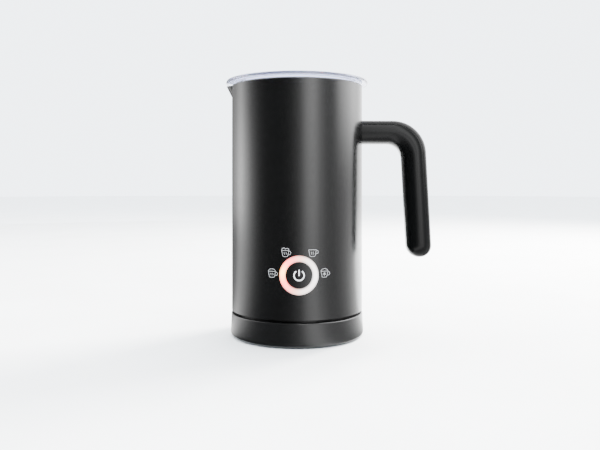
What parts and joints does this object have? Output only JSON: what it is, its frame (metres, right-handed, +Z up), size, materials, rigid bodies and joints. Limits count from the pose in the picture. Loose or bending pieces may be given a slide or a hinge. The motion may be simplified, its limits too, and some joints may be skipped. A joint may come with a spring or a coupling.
{
  "type": "milk frother",
  "caption": "Cordless milk frother: painted steel jug with side handle, clear lid, lit ring round its button, magnetically driven whisks and a round swivel power base.",
  "frame": {"origin": "centre of the anti-slip ring's underside: on the jug's axis, at the level of the table", "axes": "+Z up along the jug's axis, -Y out of the front through the power button, +X out through the handle, -X out through the pouring lip"},
  "size_m": [0.1582, 0.1086, 0.1941],
  "materials": {
    "shell_paint": "satin black paint",
    "rim_steel": "dark non-stick coating",
    "handle_plastic": "fine-textured satin",
    "handle_cover_plastic": "satin gloss",
    "base_plastic": "satin gloss",
    "bottom_plastic": "fine-textured",
    "coupler_plastic": "moulded",
    "foot_rubber": "matt",
    "gland_rubber": "matt",
    "screw_steel": "zinc-plated",
    "contact_brass": "bright",
    "lid_clear": "clear with a bluish edge",
    "lid_silicone": "translucent silicone",
    "gasket_rubber": "matt",
    "pin_steel": "polished",
    "whisk_plastic": "moulded",
    "whisk_steel": "bright spring wire",
    "magnet": "nickel-plated",
    "bracket_steel": "mill",
    "heater_aluminium": "cast",
    "element_sheath": "drawn tube",
    "thermostat_body": "fired",
    "frame_plastic": "heat-resistant, moulded",
    "motor_steel": "plated",
    "motor_plastic": "moulded",
    "bearing_bronze": "sintered",
    "field_magnet": "ferrite",
    "armature_core": "laminated",
    "circuit_board": "solder mask",
    "relay_plastic": "moulded",
    "capacitor_plastic": "dipped",
    "transformer_core": "ferrite with copper winding",
    "switch_plastic": "moulded",
    "led_plastic": "diffused",
    "housing_plastic": "moulded",
    "light_guide": "translucent, lit from behind",
    "button_plastic": "satin gloss",
    "plunger_plastic": "moulded"
  },
  "bodies": {
    "power_base": {"base_top_cover": "base_plastic", "base_bottom_cover": "bottom_plastic", "anti_slip_ring": "foot_rubber", "base_screws": "screw_steel", "base_coupler": "coupler_plastic", "base_contacts": "contact_brass", "cord_gland": "gland_rubber", "cord_clamp": "bottom_plastic", "clamp_screws": "screw_steel"},
    "coupler_half": {"jug_coupler": "coupler_plastic", "coupler_contacts": "contact_brass"},
    "jug": {"jug_bottom_cover": "bottom_plastic", "coupler_retainer": "frame_plastic", "bottom_screws": "screw_steel", "outer_shell": "shell_paint", "inner_pot": "rim_steel", "rim_gasket": "gasket_rubber", "handle_shell": "handle_plastic", "handle_cover": "handle_cover_plastic", "handle_bracket": "bracket_steel", "handle_screws": "screw_steel", "heater_plate": "heater_aluminium", "heater_element": "element_sheath", "overheat_thermostat": "thermostat_body", "temperature_sensor": "bracket_steel", "sensor_spring": "whisk_steel", "inner_frame": "frame_plastic", "motor_can": "motor_steel", "motor_end_cap": "motor_plastic", "motor_bearings": "bearing_bronze", "field_magnets": "field_magnet", "motor_screws": "screw_steel", "power_board": "circuit_board", "board_screws": "screw_steel", "relay": "relay_plastic", "filter_capacitor": "capacitor_plastic", "supply_transformer": "transformer_core", "control_board": "circuit_board", "press_switch": "switch_plastic", "ring_leds": "led_plastic", "button_housing": "housing_plastic", "light_ring": "light_guide"},
    "power_button": {"button_cap": "button_plastic", "switch_plunger": "plunger_plastic"},
    "drive_rotor": {"motor_shaft": "pin_steel", "motor_armature": "armature_core", "magnet_carrier": "motor_plastic", "drive_magnets": "magnet"},
    "spindle": {"spindle_pin": "pin_steel"},
    "whisk": {"whisk_hub": "whisk_plastic", "whisk_magnets": "magnet"},
    "whisk_ring": {"whisk_coil": "whisk_steel"},
    "lid_body": {"lid": "lid_clear", "lid_seal": "lid_silicone"},
    "stored_whisk": {"stir_whisk": "whisk_plastic", "stir_whisk_magnets": "magnet"}
  },
  "joints": [
    {"name": "jug_lift", "type": "slide", "parent": "power_base", "child": "coupler_half", "axis": [0, 0, 1], "range_m": [0, 0.05]},
    {"name": "jug_swivel", "type": "hinge", "parent": "coupler_half", "child": "jug", "pos_m": [0, 0, 0.032], "axis": [0, 0, 1], "continuous": true},
    {"name": "lid_lift", "type": "slide", "parent": "jug", "child": "lid_body", "axis": [0, 0, 1], "range_m": [0, 0.06]},
    {"name": "stored_whisk_pull", "type": "slide", "parent": "lid_body", "child": "stored_whisk", "axis": [0, 0, -1], "range_m": [0, 0.02]},
    {"name": "button_press", "type": "slide", "parent": "jug", "child": "power_button", "axis": [0, 1, 0], "range_m": [0, 0.0008], "stiffness_N_per_m": 1500},
    {"name": "motor_spin", "type": "hinge", "parent": "jug", "child": "drive_rotor", "pos_m": [0, 0, 0.06], "axis": [0, 0, 1], "continuous": true},
    {"name": "whisk_spin", "type": "hinge", "parent": "jug", "child": "spindle", "pos_m": [0, 0, 0.095], "axis": [0, 0, 1], "continuous": true},
    {"name": "whisk_lift", "type": "slide", "parent": "spindle", "child": "whisk", "axis": [0, 0, 1], "range_m": [0, 0.02]},
    {"name": "whisk_ring_pull", "type": "slide", "parent": "whisk", "child": "whisk_ring", "axis": [0, 0, 1], "range_m": [0, 0.02]}
  ],
  "couplings": [
    {"joint": "whisk_spin", "follows": "motor_spin", "ratio": 1}
  ]
}
